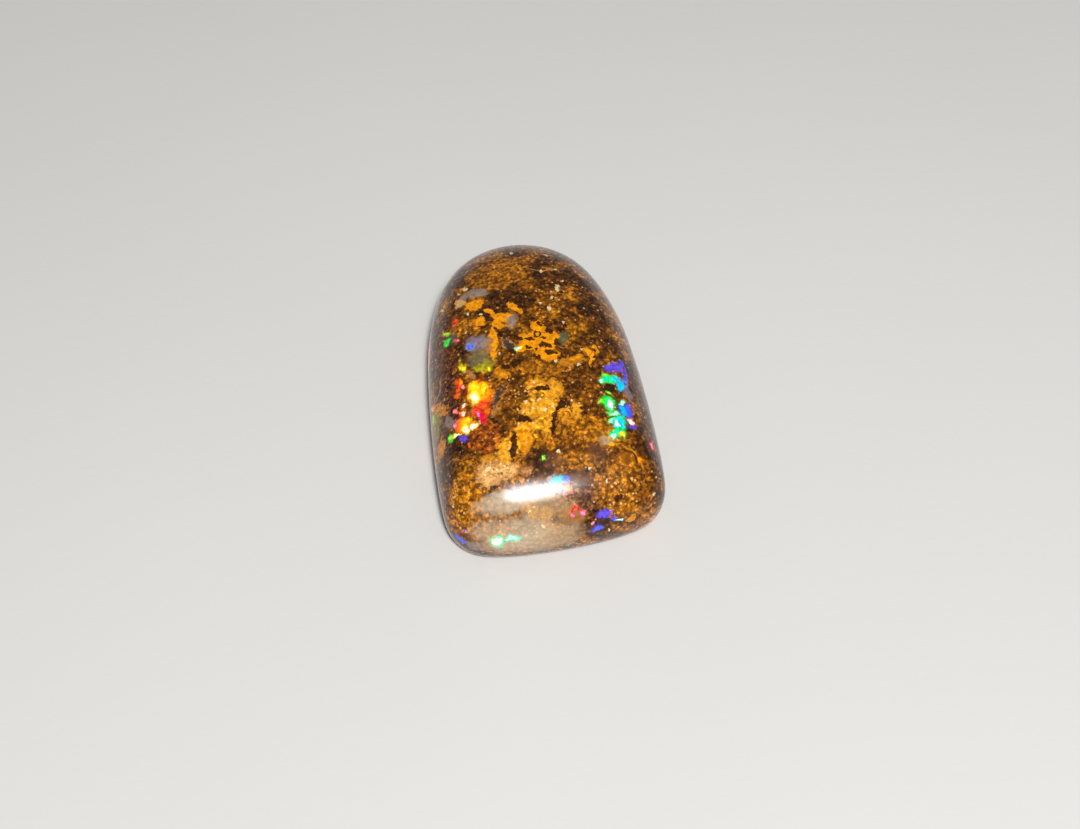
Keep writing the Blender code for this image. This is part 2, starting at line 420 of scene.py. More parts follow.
# Thin seams: start and end pixel, half width in pixels and colour.
SEAMS = {
    "lens_seam_top": (509, 383.5, 501, 400.5, 0.9, "tan"),
    "lens_seam_low": (501, 400.5, 493, 414, 1.2, "tan"),
    "lens_outline_top": (501, 337.5, 514, 342, 0.7, "tan"),
    "lens_outline_end": (514, 342, 517, 348, 0.7, "tan"),
    "lens_outline_low": (501, 337.5, 508, 348, 0.6, "tan"),
    "left_arc_1": (449, 464, 458, 459.5, 0.8, "tan"),
    "left_arc_2": (458, 459.5, 466, 461, 0.8, "tan"),
    "left_arc_3": (466, 461, 473, 466, 0.7, "tan"),
    "flank_line": (441, 378, 439.5, 391, 1.2, "tan"),
    "flank_line_low": (439.5, 391, 435, 403, 0.9, "tan"),
    "flank_edge_1": (431.5, 426, 432, 446, 0.9, "tan"),
    "flank_edge_2": (432, 446, 434, 468, 0.8, "tan"),
    "flank_blade_edge": (438, 428, 436, 446, 0.8, "tan"),
    "right_gold_1": (611, 443, 622, 444, 1.0, "honey"),
    "right_gold_2": (622, 444, 632, 449, 1.0, "honey"),
    "right_gold_3": (632, 449, 638, 457, 1.1, "honey"),
    "right_gold_4": (638, 457, 643, 468, 1.0, "honey"),
    "right_shade_1": (622, 447.5, 631, 452.5, 1.2, "umber"),
    "right_shade_2": (631, 452.5, 637, 461, 1.2, "umber"),
    "right_streak_1": (619, 449, 627, 459, 0.9, "golden_brown"),
    "right_arc_1": (594, 418, 603, 424, 1.2, "honey"),
    "right_arc_2": (603, 424, 609, 432, 1.1, "golden_brown"),
    "far_arc_1": (531.8, 269, 541.5, 271.3, 0.8, "tan"),
    "far_arc_2": (541.5, 271.3, 553.6, 269, 0.8, "tan"),
    "far_arc_3": (553.6, 269, 573, 269.5, 0.7, "cocoa"),
}

# Single pale grains, partly painted glints: pixel and radius.
GRAINS = {
    "far_1": (510.5, 253.5, 1.8), "far_2": (547, 256, 1.2), "far_3": (541, 271, 1.6),
    "far_4": (555, 270, 1.2), "far_5": (557.5, 287.5, 2.0), "far_6": (550.5, 297, 1.4),
    "far_7": (550.5, 307.5, 1.7), "far_8": (539, 303.5, 1.3), "far_9": (563, 281, 1.2),
    "far_10": (464.5, 289, 1.6), "far_11": (458.5, 294, 1.2), "far_12": (563, 322, 1.4),
    "left_1": (467.5, 315, 1.5), "left_2": (481, 314.5, 1.4), "left_3": (466, 331.8, 1.4),
    "left_4": (442.5, 310, 1.5), "middle_1": (499.8, 353, 1.3), "middle_2": (556, 361, 1.6),
    "middle_3": (582, 349.5, 1.3), "middle_4": (579, 365, 1.5), "bed_1": (526, 402, 1.6),
    "bed_2": (532, 407, 1.8), "bed_3": (539, 400, 1.5), "bed_4": (545, 408, 1.4),
    "bed_5": (518, 424, 1.7), "bed_6": (523, 411, 1.4), "bed_7": (552, 405, 1.3),
    "bed_8": (571, 401, 1.5), "shelf_1": (488, 470, 2.3), "shelf_2": (497, 472, 1.9),
    "middle_5": (558, 451, 1.3), "near_1": (590, 469, 1.4), "near_2": (606, 479, 1.3),
    "near_3": (653, 494, 1.3), "near_4": (542, 528, 2.3), "near_5": (531, 511, 1.6),
    "near_6": (610, 530, 1.3), "near_7": (452, 506, 1.3), "near_8": (621, 491, 1.2),
    "near_9": (535, 506, 1.3),
}

# Markings that the photograph doesn't reach: bearing in degrees and height in millimetres on the stone's
# wall, half width and half height in millimetres, turn in degrees, and colours as above.
FAR_POTCHES = {
    "far_wall_milk": (78, 2.6, 1.9, 0.5, 8, "grey_potch"),
    "far_wall_lens": (118, 3.4, 1.2, 0.35, -20, "beige_potch"),
    "right_wall_milk": (20, 2.4, 1.6, 0.45, 12, "beige_potch"),
    "left_wall_milk": (168, 2.2, 1.3, 0.4, -8, "grey_potch"),
}
FAR_OCHRES = {
    "far_wall_seam": (98, 3.2, 1.6, 0.3, -12, "ochre"),
    "far_wall_crumb": (62, 3.6, 0.7, 0.3, 20, "honey"),
    "right_wall_seam": (40, 3.0, 1.2, 0.3, -14, "ochre"),
    "right_wall_low": (338, 2.2, 1.2, 0.35, 10, "honey"),
    "left_wall_seam": (146, 2.6, 1.0, 0.3, 16, "ochre"),
    "left_wall_low": (192, 1.8, 0.9, 0.3, -10, "honey"),
}
FAR_FIRES = {
    "far_wall_green": (84, 2.5, 0.8, 0.3, 8, "green_fire", "sea_fire"),
    "far_wall_blue": (72, 2.4, 0.5, 0.25, 0, "blue_fire", "cyan_fire"),
    "far_wall_red": (112, 2.2, 0.4, 0.25, 20, "ruby_fire", "orange_fire"),
    "right_wall_sea": (24, 2.5, 0.6, 0.3, 0, "blue_fire", "sea_fire"),
    "right_wall_violet": (8, 1.9, 0.5, 0.3, 10, "violet_fire", "blue_fire"),
    "left_wall_gold": (160, 2.4, 0.5, 0.3, 0, "orange_fire", "gold_fire"),
    "left_wall_green": (174, 1.7, 0.4, 0.25, 0, "green_fire", "lime_fire"),
}

# How each kind of marking is laid: how soft its edges are, how much of the stone's uneven tone its colours
# take, and how much it covers of what is under it.
LAYERS = {
    "grounds": (0.45, 0.0, 0.8),
    "ochres": (0.35, 0.75, 0.92),
    "sparkles": (0.3, 0.0, 0.9),
    "ambers": (0.15, 0.55, 1.0),
    "holes": (0.25, 0.8, 0.95),
    "blobs": (0.18, 0.3, 1.0),
    "potches": (0.6, 0.4, 0.9),
    "veils": (0.8, 0.3, 0.68),
    "seams": (0.35, 0.6, 0.85),
    "grains": (0.7, 0.0, 0.85),
}
# Outlines are bent twice: the scale of the noise, and the furthest that it pushes in millimetres.
SLOW_BEND = (1.4, 0.45)
FINE_BEND = (5.0, 0.12)
# What a marking's colour is multiplied by where the grit is darkest and where it is lightest.
DARK_TONE = (0.46, 0.34, 0.26, 1.0)
LIGHT_TONE = (1.32, 1.3, 1.3, 1.0)
# The ironstone's brightness is this number to the power of its grit.
GRIT_CONTRAST = 40.0
# Heights over the back in millimetres, from the top of its satin ground to where the full polish starts.
POLISH_HEIGHTS = (0.02, 0.3)
GROUND_ROUGHNESS = 0.62
POLISHED_ROUGHNESS = 0.36


def linear(colour):
    """An sRGB colour of 0 to 255 as a linear one."""
    shares = [value / 255 for value in colour]
    return tuple(s / 12.92 if s <= 0.04045 else ((s + 0.055) / 1.055) ** 2.4 for s in shares)


class CabochonSizes(bpy.types.PropertyGroup):
    thickness: FloatProperty(
        name="Thickness", description="Height of the crown's top over the back", default=STONE_HIGH.z,
        unit="LENGTH"
    )
    girdle: FloatProperty(
        name="Girdle", description="Height of the widest line over the back", default=1.7 * MM, unit="LENGTH"
    )
    bevel: FloatProperty(
        name="Bevel", description="How far the edge under the girdle is rounded in", default=0.7 * MM,
        unit="LENGTH"
    )
    swell: FloatProperty(
        name="Swell", description="Depth of the slow waves that the polishing wheel left", default=0.02 * MM,
        unit="LENGTH"
    )
    around: IntProperty(name="Segments", description="Faces round the stone", default=240, min=24)
    rings: IntProperty(name="Crown rings", description="Rings of faces from girdle to top", default=60, min=8)


class CabochonColours(bpy.types.PropertyGroup):
    __annotations__ = {
        name: FloatVectorProperty(
            name=name.replace("_", " ").capitalize(), description=meaning, default=linear(colour), size=3,
            subtype="COLOR", min=0, max=1
        )
        for name, (colour, meaning) in PALETTE.items()
    }


class StageSettings(bpy.types.PropertyGroup):
    azimuth: FloatProperty(
        name="Azimuth", description="Turn of the camera round the stone", default=math.radians(-8),
        subtype="ANGLE"
    )
    elevation: FloatProperty(
        name="Elevation", description="Tilt of the camera over the floor", default=math.radians(55),
        subtype="ANGLE"
    )
    distance: FloatProperty(
        name="Distance", description="From the camera to its target", default=95 * MM, unit="LENGTH"
    )
    target: FloatVectorProperty(
        name="Target", description="Point at the middle of the picture",
        default=(-0.05 * MM, -2.55 * MM, 2.5 * MM), size=3, subtype="XYZ", unit="LENGTH"
    )
    lens: FloatProperty(name="Focal length", description="Of the camera, in millimetres", default=50.0)
    sensor: FloatProperty(name="Sensor", description="Width of the sensor in millimetres", default=36.0)
    floor: FloatVectorProperty(
        name="Floor", description="Colour of the floor", default=linear((222, 220, 216)), size=3,
        subtype="COLOR"
    )
    lamp_distance: FloatProperty(
        name="Lamp distance", description="From the stone to the key lamp", default=0.26, unit="LENGTH"
    )
    lamp_width: FloatProperty(
        name="Lamp width", description="Of the key lamp", default=0.030, unit="LENGTH"
    )
    lamp_height: FloatProperty(
        name="Lamp height", description="Of the key lamp", default=0.042, unit="LENGTH"
    )
    lamp_turn: FloatProperty(
        name="Lamp turn", description="Of the key lamp about its own axis", default=math.radians(8),
        subtype="ANGLE"
    )
    lamp_power: FloatProperty(name="Lamp power", description="Of the key lamp, in watts", default=0.72)
    room_light: FloatProperty(
        name="Room light", description="Strength of the soft light all round", default=0.16
    )


def tangent_distance(facing):
    """From the crown's middle to the girdle's tangent that faces this way: a soft maximum of the circles'."""
    total = 0
    for x, y, radius in OUTLINE_CIRCLES.values():
        distance = x * np.cos(facing) + y * np.sin(facing) + radius
        total = total + np.maximum(0, distance) ** HULL_TIGHTNESS
    return total ** (1 / HULL_TIGHTNESS)


def girdle_reach(bearing):
    """From the crown's middle to the girdle: along each bearing, the nearest of all its tangents."""
    return (tangent_distance(bearing[:, None] + TANGENT_LEANS) / np.cos(TANGENT_LEANS)).min(axis=1)


def crown_fullness(bearing):
    return END_FULLNESS + (SIDE_FULLNESS - END_FULLNESS) * np.cos(bearing) ** 2


def cut_stone(sizes):
    """A sphere drawn out to the crown and the bevel in millimetres, cut off flat, then scaled to metres."""
    lengths = (sizes.thickness, sizes.girdle, sizes.bevel, sizes.swell)
    thickness, girdle, bevel, swell = (length / MM for length in lengths)
    rings = 2 * sizes.rings
    ring_step = math.pi / rings
    lowest = -(sizes.rings // 3) * ring_step
    stone = bmesh.new()
    bmesh.ops.create_uvsphere(stone, u_segments=sizes.around, v_segments=rings, radius=1)
    under = [v for v in stone.verts if v.co.z < math.sin(lowest - ring_step / 2)]
    bmesh.ops.delete(stone, geom=under, context="VERTS")

    ball = np.array([v.co for v in stone.verts])
    bearing = np.arctan2(ball[:, 1], ball[:, 0])
    latitude = np.arcsin(ball[:, 2].clip(-1, 1))
    climb = latitude.clip(0, math.pi / 2)
    drop = math.pi / 2 * (latitude / lowest).clip(0, 1)
    crown = girdle_reach(bearing) * np.cos(climb) ** (2 / crown_fullness(bearing))
    reach = crown - bevel * (1 - np.cos(drop))
    x, y = reach * np.cos(bearing), reach * np.sin(bearing)
    first_wave = np.sin(FIRST_WAVE[0] * x + FIRST_WAVE[1] * y)
    second_wave = np.cos(SECOND_WAVE[0] * x + SECOND_WAVE[1] * y)
    wave = first_wave * second_wave - 1
    z = girdle * (1 - np.sin(drop)) + (thickness - girdle + swell * wave) * np.sin(climb)
    wanted = (STONE_LOW + STONE_HIGH) / (2 * MM)
    x += wanted.x - (x.max() + x.min()) / 2
    y += wanted.y - (y.max() + y.min()) / 2
    for vertex, *place in zip(stone.verts, x, y, z):
        vertex.co = place

    rim = [edge for edge in stone.edges if edge.is_boundary]
    bmesh.ops.holes_fill(stone, edges=rim, sides=sizes.around)
    bmesh.ops.recalc_face_normals(stone, faces=stone.faces)
    bmesh.ops.scale(stone, verts=stone.verts, vec=(MM, MM, MM))
    return stone


def stone_surface():
    """The finished stone's surface in millimetres, to cast rays at."""
    mesh = bpy.data.objects[STONE].data
    return BVHTree.FromPolygons([v.co / MM for v in mesh.vertices], [p.vertices for p in mesh.polygons])


class Eye:
    """The photograph's camera, in millimetres: it turns a pixel into a place on the stone."""

    def __init__(self, stage, surface):
        turn, rise = stage.azimuth, stage.elevation
        self.back = Vector(
            (math.sin(turn) * math.cos(rise), -math.cos(turn) * math.cos(rise), math.sin(rise))
        )
        self.right = Vector((math.cos(turn), math.sin(turn), 0))
        self.up = self.back.cross(self.right)
        self.place = Vector(stage.target) / MM + self.back * stage.distance / MM
        self.focal = stage.lens / stage.sensor * PHOTO_WIDTH
        self.surface = surface

    def ray(self, x, y):
        aside = (x - PHOTO_WIDTH / 2) / self.focal
        above = (PHOTO_HEIGHT / 2 - y) / self.focal
        return (self.right * aside + self.up * above - self.back).normalized()

    def on_stone(self, x, y):
        """Where the pixel's ray meets the stone, or a place near where it passes by, and the normal there."""
        ray = self.ray(x, y)
        place, normal, _, _ = self.surface.ray_cast(self.place, ray)
        if place is None:
            near = self.place + ray * (-self.place).dot(ray)
            place, normal, _, _ = self.surface.find_nearest(near)
        return place, normal

    def patch(self, x, y, half_width, half_height, turn):
        """The patch of stone that looks like this ellipse in the photograph: middle, axes and half sizes."""
        place, normal = self.on_stone(x, y)
        across = self.right - normal * self.right.dot(normal)
        across.normalize()
        along = normal.cross(across)
        depth = (self.place - place).dot(self.back)
        per_pixel = depth / self.focal
        seen = np.array([[t.dot(self.right), -t.dot(self.up)] for t in (across, along)]).T
        cosine, sine = math.cos(math.radians(turn)), math.sin(math.radians(turn))
        ellipse = np.array(
            [[cosine * half_width, -sine * half_height], [sine * half_width, cosine * half_height]]
        )
        flat, sizes, _ = np.linalg.svd(np.linalg.inv(seen) @ ellipse * per_pixel)
        longest = LONGEST_STRETCH * max(half_width, half_height) * per_pixel
        first = across * flat[0, 0] + along * flat[1, 0]
        second = normal.cross(first)
        return place, (first, second, normal), (min(sizes[0], longest), min(sizes[1], longest))


class Sheet:
    """Adds nodes to a tree, each laid beside the last, and links or sets their inputs."""

    def __init__(self, tree):
        self.tree = tree
        self.count = 0

    def add(self, kind, inputs=None, **settings):
        node = self.tree.nodes.new(kind)
        row, column = divmod(self.count, NODE_ROW)
        node.location = NODE_ROOM[0] * column, -NODE_ROOM[1] * row
        self.count += 1
        for name, value in settings.items():
            setattr(node, name, value)
        for name, value in (inputs or {}).items():
            if isinstance(value, bpy.types.NodeSocket):
                self.tree.links.new(value, node.inputs[name])
            else:
                node.inputs[name].default_value = value
        return node

    def maths(self, operation, first, second=0.0, third=0.0):
        inputs = {0: first, 1: second, 2: third}
        return self.add("ShaderNodeMath", inputs, operation=operation).outputs[0]

    def vectors(self, operation, inputs):
        node = self.add("ShaderNodeVectorMath", inputs, operation=operation)
        return node.outputs["Value" if operation == "DOT_PRODUCT" else "Vector"]

    def mix(self, share, first, second, blend="MIX"):
        node = self.add("ShaderNodeMix", data_type="RGBA", blend_type=blend)
        for index, value in ((0, share), (6, first), (7, second)):
            if isinstance(value, bpy.types.NodeSocket):
                self.tree.links.new(value, node.inputs[index])
            else:
                node.inputs[index].default_value = value
        return node.outputs[2]

    def ramp(self, value, low, high, bottom=0.0, top=1.0, kind="SMOOTHSTEP"):
        """A smooth step keeps to its range by itself, and hundreds of clamps would overfill the shader."""
        inputs = {"Value": value, "From Min": low, "From Max": high, "To Min": bottom, "To Max": top}
        settings = {"interpolation_type": kind, "clamp": kind == "LINEAR"}
        return self.add("ShaderNodeMapRange", inputs, **settings).outputs[0]

    def noise(self, place, scale, detail, roughness, distortion=0.0):
        inputs = {"Vector": place, "Scale": scale, "Detail": detail, "Roughness": roughness}
        return self.add("ShaderNodeTexNoise", inputs | {"Distortion": distortion})

    def cells(self, place, scale):
        return self.add("ShaderNodeTexVoronoi", {"Vector": place, "Scale": scale})

    def channel(self, colour):
        """The red of a colour: a value of its own for each cell."""
        return self.add("ShaderNodeSeparateColor", {0: colour}).outputs[0]


def new_group(name, inputs, outputs):
    """A shader node group with these sockets, and a sheet to fill it in."""
    tree = bpy.data.node_groups.new(name, "ShaderNodeTree")
    for socket, kind in inputs:
        tree.interface.new_socket(socket, in_out="INPUT", socket_type="NodeSocket" + kind)
    for socket, kind in outputs:
        tree.interface.new_socket(socket, in_out="OUTPUT", socket_type="NodeSocket" + kind)
    sheet = Sheet(tree)
    return tree, sheet, sheet.add("NodeGroupInput").outputs


SPOT_AXES = ("Across", "Along", "Out")
SPOT_SOCKETS = [(name, "Vector") for name in ("Place", "Centre", *SPOT_AXES)]


def distance_from_spot(sheet, given, offset):
    """How far a place is from the spot's centre, squared, in shares of the spot's reach, plus an offset."""
    local = sheet.vectors("SUBTRACT", {0: given["Place"], 1: given["Centre"]})
    total = offset
    for name in SPOT_AXES:
        share = sheet.vectors("DOT_PRODUCT", {0: local, 1: given[name]})
        total = sheet.maths("MULTIPLY_ADD", share, share, total)
    return total


def marking_group():
    """Mask of one marking: 1 inside its spot, 0 outside, ragged at its edge."""
    tree, sheet, given = new_group(
        "Marking", [*SPOT_SOCKETS, ("Ragged", "Float"), ("Softness", "Float")], [("Mask", "Float")]
    )
    outer = sheet.maths("ADD", 1.0, given["Softness"])
    inner = sheet.maths("SUBTRACT", 1.0, given["Softness"])
    distance = distance_from_spot(sheet, given, given["Ragged"])
    sheet.add("NodeGroupOutput", {"Mask": sheet.ramp(distance, outer, inner)})
    return tree


def fire_group():
    """Colour and mask of one flash of opal: flaky at its edge, with a heart in another colour."""
    tree, sheet, given = new_group(
        "Opal Fire",
        [*SPOT_SOCKETS, ("Flake", "Float"), ("Rim Colour", "Color"), ("Heart Colour", "Color")],
        [("Colour", "Color"), ("Mask", "Float"), ("Glow", "Float")],
    )
    distance = distance_from_spot(sheet, given, given["Flake"])
    heart = sheet.ramp(distance, 0.85, 0.15)
    colour = sheet.mix(heart, given["Rim Colour"], given["Heart Colour"])
    mask = sheet.ramp(distance, 1.2, 0.7)
    glow = sheet.ramp(distance, 2.2, 0.6)
    sheet.add("NodeGroupOutput", {"Colour": colour, "Mask": mask, "Glow": glow})
    return tree


def bend_place(sheet, place, scale, depth):
    """A place pushed about by noise, at most by this depth in millimetres."""
    push = sheet.noise(place, scale, 3.0, 0.6).outputs["Color"]
    push = sheet.vectors("MULTIPLY_ADD", {0: push, 1: (2 * depth,) * 3, 2: (-depth,) * 3})
    return sheet.vectors("ADD", {0: place, 1: push})


def scattered_points(sheet, place, scale, rarity, reach, softness):
    """Round points scattered through the stone: the largest has this reach, as a share of each one's room."""
    point = sheet.cells(place, scale).outputs
    size = sheet.ramp(sheet.channel(point["Color"]), rarity, 1.0, -softness, reach, "LINEAR")
    return sheet.ramp(sheet.maths("SUBTRACT", size, point["Distance"]), -softness, softness)


def grain_group():
    """The mineral's grain: slow mottle, fine grit, crystals, and three kinds of bright point."""
    values = ("Mottle", "Grit", "Crystal", "Gold", "Glint", "Sparkle")
    tree, sheet, given = new_group(
        "Mineral Grain", [("Place", "Vector")], [(name, "Float") for name in values]
    )
    place = given["Place"]
    crumbled = bend_place(sheet, place, 6.0, 0.08)
    outputs = {
        "Mottle": sheet.noise(place, 0.6, 5.0, 0.6, 0.3).outputs["Fac"],
        "Grit": sheet.noise(place, 3.8, 3.0, 0.62).outputs["Fac"],
        "Crystal": sheet.channel(sheet.cells(place, 5.6).outputs["Color"]),
        "Gold": scattered_points(sheet, place, 4.0, 0.35, 0.45, 0.16),
        "Glint": scattered_points(sheet, place, 4.2, 0.72, 0.36, 0.1),
        "Sparkle": scattered_points(sheet, crumbled, 4.8, 0.35, 0.5, 0.12),
    }
    sheet.add("NodeGroupOutput", outputs)
    return tree


def spot_inputs(spot):
    """A spot on the stone as the inputs of a marking's group."""
    centre, axes, sizes = spot
    inputs = {"Centre": centre}
    for name, axis, reach in zip(SPOT_AXES, axes, (*sizes, MARK_DEPTH)):
        inputs[name] = axis / reach
    return inputs


def wall_spot(surface, bearing, height, half_width, half_height, turn):
    """A spot on the stone's wall, at this bearing and height."""
    out = Vector((math.cos(math.radians(bearing)), math.sin(math.radians(bearing)), 0))
    place, normal, _, _ = surface.ray_cast(out * WALL_RAY_START + Vector((0, 0, height)), -out)
    level = Vector((0, 0, 1)).cross(normal).normalized()
    rise = normal.cross(level)
    cosine, sine = math.cos(math.radians(turn)), math.sin(math.radians(turn))
    first = level * cosine + rise * sine
    return place, (first, normal.cross(first), normal), (half_width, half_height)


def seam_spot(eye, x_start, y_start, x_end, y_end, half_width):
    """A long thin spot that runs from one pixel to another."""
    half_length = SEAM_REACH * math.hypot(x_end - x_start, y_end - y_start)
    turn = math.degrees(math.atan2(y_end - y_start, x_end - x_start))
    return eye.patch((x_start + x_end) / 2, (y_start + y_end) / 2, half_length, half_width, turn)


def find_spots(eye):
    """Every marking's spot and colours, by the kind that it belongs to."""
    from_photo = {
        "grounds": GROUNDS, "ochres": OCHRES, "sparkles": SPARKLES, "ambers": AMBERS, "holes": HOLES,
        "blobs": BLOBS, "potches": POTCHES, "veils": VEILS, "fires": FIRES,
    }
    from_wall = {"ochres": FAR_OCHRES, "potches": FAR_POTCHES, "fires": FAR_FIRES}
    spots = {}
    for kind, rows in from_photo.items():
        spots[kind] = [(eye.patch(*row[:5]), row[5:]) for row in rows.values()]
    for kind, rows in from_wall.items():
        spots[kind] += [(wall_spot(eye.surface, *row[:5]), row[5:]) for row in rows.values()]
    spots["seams"] = [(seam_spot(eye, *row[:5]), row[5:]) for row in SEAMS.values()]
    spots["grains"] = [(eye.patch(x, y, radius, radius, 0), ("cream",)) for x, y, radius in GRAINS.values()]
    return spots


def layer_group(name, rows, shade, marking, softness, cover):
    """Lays every marking of one kind over a colour, each in its own colour times the tone."""
    tree, sheet, given = new_group(
        name,
        [("Colour", "Color"), ("Place", "Vector"), ("Ragged", "Float"), ("Tone", "Color")],
        [("Colour", "Color")],
    )
    common = {"Place": given["Place"], "Ragged": given["Ragged"], "Softness": softness}
    colour = given["Colour"]
    for spot, (shade_name,) in rows:
        mask = sheet.add("ShaderNodeGroup", spot_inputs(spot) | common, node_tree=marking).outputs[0]
        if cover < 1.0:
            mask = sheet.maths("MULTIPLY", mask, cover)
        own = sheet.mix(1.0, given["Tone"], shade[shade_name], "MULTIPLY")
        colour = sheet.mix(mask, colour, own)
    sheet.add("NodeGroupOutput", {"Colour": colour})
    return tree


def flashes_group(rows, shade):
    """Every flash of opal: their colours over black, and where they cover the stone."""
    tree, sheet, given = new_group(
        "Opal Flashes", [("Place", "Vector"), ("Flake", "Float")], [("Flash", "Color"), ("Cover", "Float")]
    )
    fire = fire_group()
    flash, cover = (0.0, 0.0, 0.0, 1.0), 0.0
    for spot, (rim, heart) in rows:
        inputs = spot_inputs(spot) | {"Place": given["Place"], "Flake": given["Flake"]}
        inputs |= {"Rim Colour": shade[rim], "Heart Colour": shade[heart]}
        made = sheet.add("ShaderNodeGroup", inputs, node_tree=fire).outputs
        flash = sheet.mix(made["Glow"], flash, made["Colour"])
        cover = sheet.maths("MAXIMUM", cover, made["Mask"])
    sheet.add("NodeGroupOutput", {"Flash": flash, "Cover": cover})
    return tree


def stone_material(colours, spots):
    """Polished stone: the ironstone's browns, each kind of marking laid over the last, and fire on top, which
    also glows as painted light.
    """
    material = bpy.data.materials.new("polished_opal_ironstone")
    material.use_nodes = True
    tree = material.node_tree
    shader = tree.nodes["Principled BSDF"]
    sheet = Sheet(tree)
    shade = {name: (*getattr(colours, name), 1.0) for name in PALETTE}

    metres = sheet.add("ShaderNodeTexCoord").outputs["Object"]
    place = sheet.vectors("SCALE", {0: metres, "Scale": 1 / MM})
    grain = sheet.add("ShaderNodeGroup", {"Place": place}, node_tree=grain_group()).outputs
    bent = bend_place(sheet, bend_place(sheet, place, *SLOW_BEND), *FINE_BEND)
    slow = sheet.ramp(grain["Mottle"], 0.3, 0.7, -0.5, 0.5, "LINEAR")
    fine = sheet.ramp(grain["Grit"], 0.25, 0.75, -0.5, 0.5, "LINEAR")
    flake = sheet.ramp(grain["Crystal"], 0.0, 1.0, -0.3, 0.3, "LINEAR")
    tone = sheet.mix(sheet.ramp(fine, -0.3, 0.3), DARK_TONE, LIGHT_TONE)
    marking = marking_group()

    def lay(colour, kind, ragged):
        """Lays one kind of marking over a colour, with its edges worn away or grown by this value."""
        softness, tone_share, cover = LAYERS[kind]
        group = layer_group(kind.capitalize(), spots[kind], shade, marking, softness, cover)
        uneven = sheet.mix(tone_share, (1.0, 1.0, 1.0, 1.0), tone)
        inputs = {"Colour": colour, "Place": bent, "Ragged": ragged, "Tone": uneven}
        return sheet.add("ShaderNodeGroup", inputs, node_tree=group).outputs[0]

    # The ironstone: dark to golden with the mottle, then its grounds, its grit and its golden grains.
    colour = sheet.mix(sheet.ramp(slow, -0.35, 0.1), shade["umber"], shade["chestnut"])
    colour = sheet.mix(sheet.ramp(slow, -0.05, 0.35), colour, shade["golden_brown"])
    colour = lay(colour, "grounds", slow)
    grit = sheet.maths("MULTIPLY_ADD", fine, 0.7, -0.2)
    grit = sheet.maths("MULTIPLY_ADD", grain["Crystal"], 0.4, grit)
    grit = sheet.maths("POWER", GRIT_CONTRAST, grit)
    colour = sheet.add("ShaderNodeHueSaturation", {"Value": grit, "Color": colour}).outputs[0]
    gold = sheet.maths("MULTIPLY", grain["Gold"], sheet.ramp(slow, -0.5, 0.3, 0.25, 0.7, "LINEAR"))
    colour = sheet.mix(gold, colour, shade["honey"])

    # The ochre crumbles at its edges. Quartz lies all over the stone, and closest together in the sparkles;
    # its bright points are partly painted glints.
    crumbly = sheet.maths("MULTIPLY_ADD", fine, 3.0, 0.35)
    crumbly = sheet.maths("MULTIPLY_ADD", grain["Crystal"], -0.8, crumbly)
    colour = lay(colour, "ochres", crumbly)
    colour = sheet.mix(sheet.maths("MULTIPLY", grain["Glint"], 0.7), colour, shade["peach"])
    colour = lay(colour, "sparkles", sheet.maths("MULTIPLY_ADD", grain["Sparkle"], -3.0, 3.0))

    # Over them lie the smoother markings, all less ragged than the ochre.
    colour = lay(colour, "ambers", sheet.maths("MULTIPLY", fine, 1.3))
    colour = lay(colour, "holes", sheet.maths("MULTIPLY_ADD", fine, 0.8, -0.12))
    colour = lay(colour, "blobs", sheet.maths("MULTIPLY", fine, 0.7))
    colour = lay(colour, "potches", sheet.maths("MULTIPLY_ADD", slow, 0.8, fine))
    colour = lay(colour, "veils", slow)
    colour = lay(colour, "seams", sheet.maths("MULTIPLY", fine, 0.5))
    colour = lay(colour, "grains", 0.0)

    flashes = flashes_group(spots["fires"], shade)
    fire = sheet.add("ShaderNodeGroup", {"Place": bent, "Flake": flake}, node_tree=flashes).outputs
    flicker = sheet.ramp(grain["Crystal"], 0.0, 1.0, 0.6, 1.25, "LINEAR")
    flash = sheet.add("ShaderNodeHueSaturation", {"Value": flicker, "Color": fire["Flash"]}).outputs[0]
    colour = sheet.mix(fire["Cover"], colour, flash)

    # The back is plain ironstone, ground to a satin finish.
    height = sheet.add("ShaderNodeSeparateXYZ", {0: place}).outputs["Z"]
    polish = sheet.ramp(height, *POLISH_HEIGHTS)
    back = sheet.add("ShaderNodeHueSaturation", {"Value": grit, "Color": shade["chestnut"]})
    colour = sheet.mix(polish, back.outputs[0], colour)
    rough = sheet.ramp(polish, 0.0, 1.0, GROUND_ROUGHNESS, POLISHED_ROUGHNESS, "LINEAR")
    coat = sheet.maths("MULTIPLY", polish, sheet.ramp(grain["Grit"], 0.35, 0.6, 0.7, 1.0, "LINEAR"))
    bump = sheet.add("ShaderNodeBump", {"Height": grain["Grit"], "Distance": 0.05 * MM, "Strength": 0.5})

    links = tree.links
    links.new(colour, shader.inputs["Base Color"])
    links.new(rough, shader.inputs["Roughness"])
    links.new(bump.outputs[0], shader.inputs["Normal"])
    links.new(coat, shader.inputs["Coat Weight"])
    # The fire's colours also glow by themselves: painted light, though the opal is no lamp.
    links.new(flash, shader.inputs["Emission Color"])
    shader.inputs["Emission Strength"].default_value = 0.4
    shader.inputs["Specular IOR Level"].default_value = 0.05
    shader.inputs["Coat Roughness"].default_value = 0.14
    shader.inputs["Coat IOR"].default_value = 1.45
    return material


